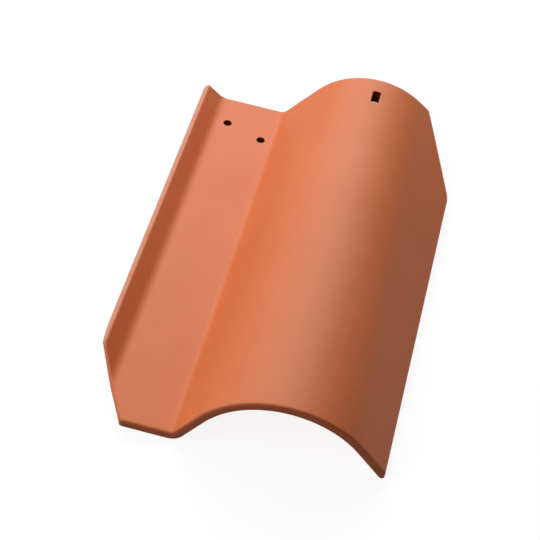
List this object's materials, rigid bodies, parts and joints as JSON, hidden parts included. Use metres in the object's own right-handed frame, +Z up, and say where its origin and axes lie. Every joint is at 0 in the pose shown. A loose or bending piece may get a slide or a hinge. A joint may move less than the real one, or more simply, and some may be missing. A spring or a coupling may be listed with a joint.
{
  "type": "spanish roof tile",
  "caption": "One-piece clay Spanish roof tile: an upturned flange, a flat pan with nail holes, and a barrel roll with a tie slot and clipped corners.",
  "frame": {"origin": "on the ground under the middle of the tile's outline, with the tile lying on the underside of its valley and on its cover edge", "axes": "+Y from the butt to the head along the tile's length, +Z up, +X from the flange towards the roll; the pan leans about 6 degrees down to +X"},
  "size_m": [0.2814, 0.4666, 0.0725],
  "materials": {
    "fired_clay": "matte unglazed terracotta"
  },
  "bodies": {
    "root": {"roof_tile": "fired_clay"}
  },
  "joints": []
}
